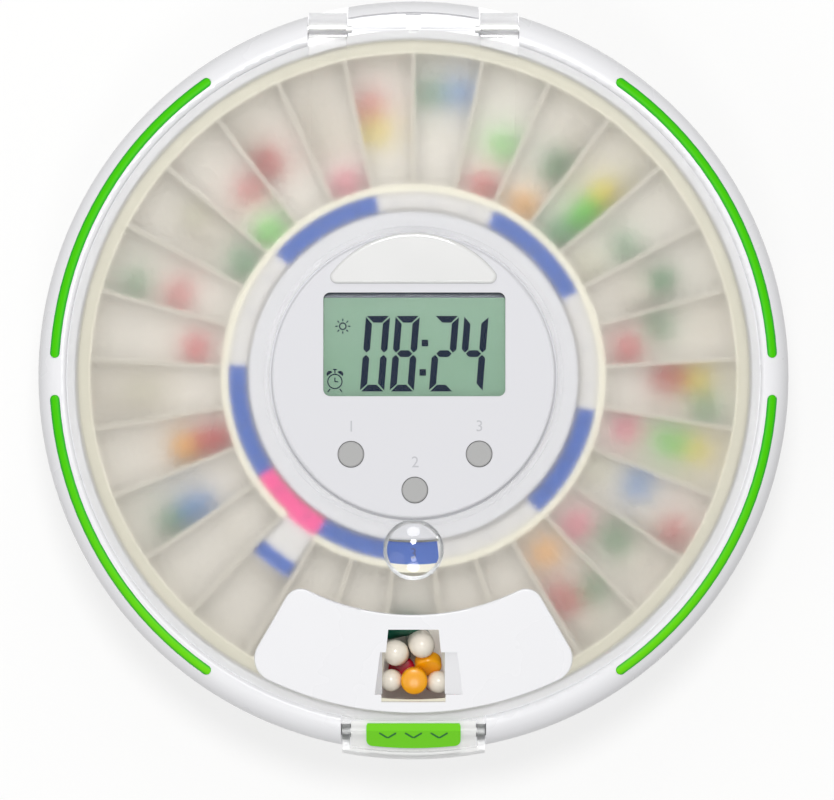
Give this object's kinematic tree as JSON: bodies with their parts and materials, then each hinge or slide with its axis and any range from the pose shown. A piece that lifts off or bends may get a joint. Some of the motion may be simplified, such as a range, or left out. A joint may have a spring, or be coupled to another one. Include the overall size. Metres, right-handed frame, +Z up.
{
  "type": "automatic pill dispenser",
  "caption": "Round tabletop pill dispenser: a motor-driven carousel of dose compartments under a hinged clear lid, with a display, keys, lit rim and dispensing window.",
  "frame": {"origin": "on the carousel's axis, in the plane that the rubber feet stand on", "axes": "+Z up along the carousel's axis, +Y towards the lid's hinge, -Y towards the latch and the dispensing window, +X to the right when facing the latch"},
  "size_m": [0.22, 0.2222, 0.057],
  "materials": {
    "white_shell": "moulded ABS, satin gloss white",
    "console_white": "moulded ABS, fine matt white",
    "green_light": "tinted acrylic light guide, polished",
    "circuit_board": "solder-masked circuit board",
    "black_rubber": "soft black rubber",
    "steel": "zinc-plated steel",
    "battery_case": "plain wrapped cell",
    "brass": "turned brass",
    "black_plastic": "black moulded plastic",
    "lcd_green": "grey-green display glass",
    "clear_plastic": "clear polished acrylic",
    "frosted_lid": "clear polycarbonate with a frosted field and a polished rim",
    "shield_white": "moulded white plastic",
    "key_grey": "grey silicone",
    "latch_clear": "smoke-clear plastic",
    "latch_green": "glossy green plastic",
    "tray_white": "moulded off-white polypropylene",
    "ring_print": "printed plastic sheet",
    "magnet_metal": "nickel-plated magnet",
    "gear_nylon": "moulded acetal"
  },
  "bodies": {
    "base": {"base_housing": "white_shell", "rim_bezel": "white_shell", "light_guide_1": "green_light", "light_guide_2": "green_light", "light_guide_3": "green_light", "light_guide_4": "green_light", "led_strip_1": "circuit_board", "led_strip_2": "circuit_board", "led_strip_3": "circuit_board", "led_strip_4": "circuit_board", "bottom_cover": "white_shell", "foot_1": "black_rubber", "foot_2": "black_rubber", "foot_3": "black_rubber", "foot_4": "black_rubber", "cover_screws": "steel", "batteries": "battery_case", "battery_contacts": "steel", "drive_bush": "brass", "idler_axle": "steel", "motor": "steel", "index_sensor": "black_plastic", "main_board": "circuit_board", "buzzer": "black_plastic", "console_base": "console_white", "console_cover": "console_white", "console_board": "circuit_board", "key_switches": "black_plastic", "lcd_module": "black_plastic", "lcd_glass": "lcd_green", "lcd_gasket": "black_rubber", "lcd_window": "clear_plastic", "console_screws": "steel", "badge": "clear_plastic", "hinge_pins": "steel"},
    "lid": {"lid_panel": "frosted_lid", "dispense_shield": "shield_white", "magnifier_lens": "clear_plastic", "latch_pin": "steel"},
    "latch": {"latch_key": "latch_clear", "latch_pad": "latch_green"},
    "tray": {"tray_floor": "tray_white", "tray_steps": "tray_white", "tray_hub": "tray_white", "tray_outer_wall": "tray_white", "tray_dividers": "tray_white", "dosage_ring": "ring_print", "index_magnet": "magnet_metal"},
    "drive_axle": {"drive_shaft": "steel", "drive_pinion": "gear_nylon", "drive_wheel": "gear_nylon"},
    "idler": {"idler_gear": "gear_nylon"},
    "motor_rotor": {"motor_pinion": "brass", "motor_shaft": "steel"},
    "battery_door": {"battery_door": "white_shell"},
    "button_left": {"button_left": "key_grey"},
    "button_middle": {"button_middle": "key_grey"},
    "button_right": {"button_right": "key_grey"}
  },
  "joints": [
    {"name": "lid_hinge", "type": "hinge", "parent": "base", "child": "lid", "pos_m": [0, 0.1015, 0.0494], "axis": [-1, 0, 0], "range_deg": [0, 95]},
    {"name": "latch_press", "type": "hinge", "parent": "lid", "child": "latch", "pos_m": [0, -0.1035, 0.0479], "axis": [1, 0, 0], "range_deg": [0, 8], "stiffness_Nm_per_rad": 0.06},
    {"name": "tray_spin", "type": "hinge", "parent": "base", "child": "tray", "pos_m": [0, 0, 0.03], "axis": [0, 0, 1], "continuous": true},
    {"name": "drive_spin", "type": "hinge", "parent": "base", "child": "drive_axle", "pos_m": [0, 0.0438, 0.02], "axis": [0, 0, 1], "continuous": true},
    {"name": "idler_spin", "type": "hinge", "parent": "base", "child": "idler", "pos_m": [-0.018, 0.0438, 0.01], "axis": [0, 0, 1], "continuous": true},
    {"name": "motor_spin", "type": "hinge", "parent": "base", "child": "motor_rotor", "pos_m": [-0.018, 0.0288, 0.01], "axis": [0, 0, 1], "continuous": true},
    {"name": "battery_door_pull", "type": "slide", "parent": "base", "child": "battery_door", "axis": [0, 0, -1], "range_m": [0, 0.012]},
    {"name": "button_left_press", "type": "slide", "parent": "base", "child": "button_left", "axis": [0, 0, -1], "range_m": [0, 0.0008], "stiffness_N_per_m": 900},
    {"name": "button_middle_press", "type": "slide", "parent": "base", "child": "button_middle", "axis": [0, 0, -1], "range_m": [0, 0.0008], "stiffness_N_per_m": 900},
    {"name": "button_right_press", "type": "slide", "parent": "base", "child": "button_right", "axis": [0, 0, -1], "range_m": [0, 0.0008], "stiffness_N_per_m": 900}
  ],
  "couplings": [
    {"joint": "drive_spin", "follows": "tray_spin", "ratio": 6.2143},
    {"joint": "idler_spin", "follows": "tray_spin", "ratio": -24.857},
    {"joint": "motor_spin", "follows": "tray_spin", "ratio": 124.29}
  ]
}
